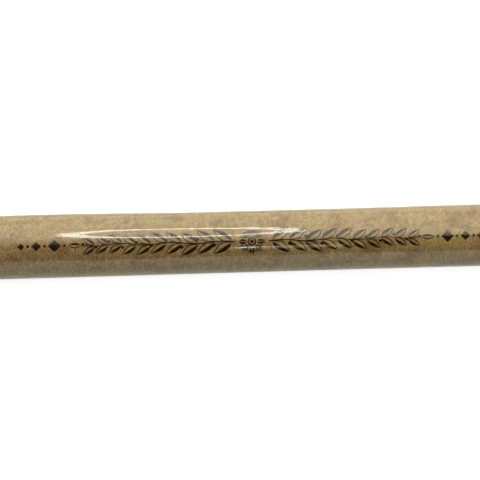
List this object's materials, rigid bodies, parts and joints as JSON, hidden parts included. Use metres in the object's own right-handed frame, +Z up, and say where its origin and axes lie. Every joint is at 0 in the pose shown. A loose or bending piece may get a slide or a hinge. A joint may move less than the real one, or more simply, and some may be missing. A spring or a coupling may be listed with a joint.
{
  "type": "paper scroll",
  "caption": "Parchment sheet rolled up with its printed face outside and held in a clear film sleeve that is turned in over both ends.",
  "frame": {"origin": "on the surface that the roll lies on, below the middle of its length", "axes": "+X along the roll, +Z up, the printed face towards -Y and up"},
  "size_m": [0.3566, 0.019, 0.0186],
  "materials": {
    "parchment": "matte mottled parchment, printed in dark brown",
    "clear_film": "clear, glossy shrunk film"
  },
  "bodies": {
    "root": {"rolled_sheet": "parchment", "clear_sleeve": "clear_film"}
  },
  "joints": []
}
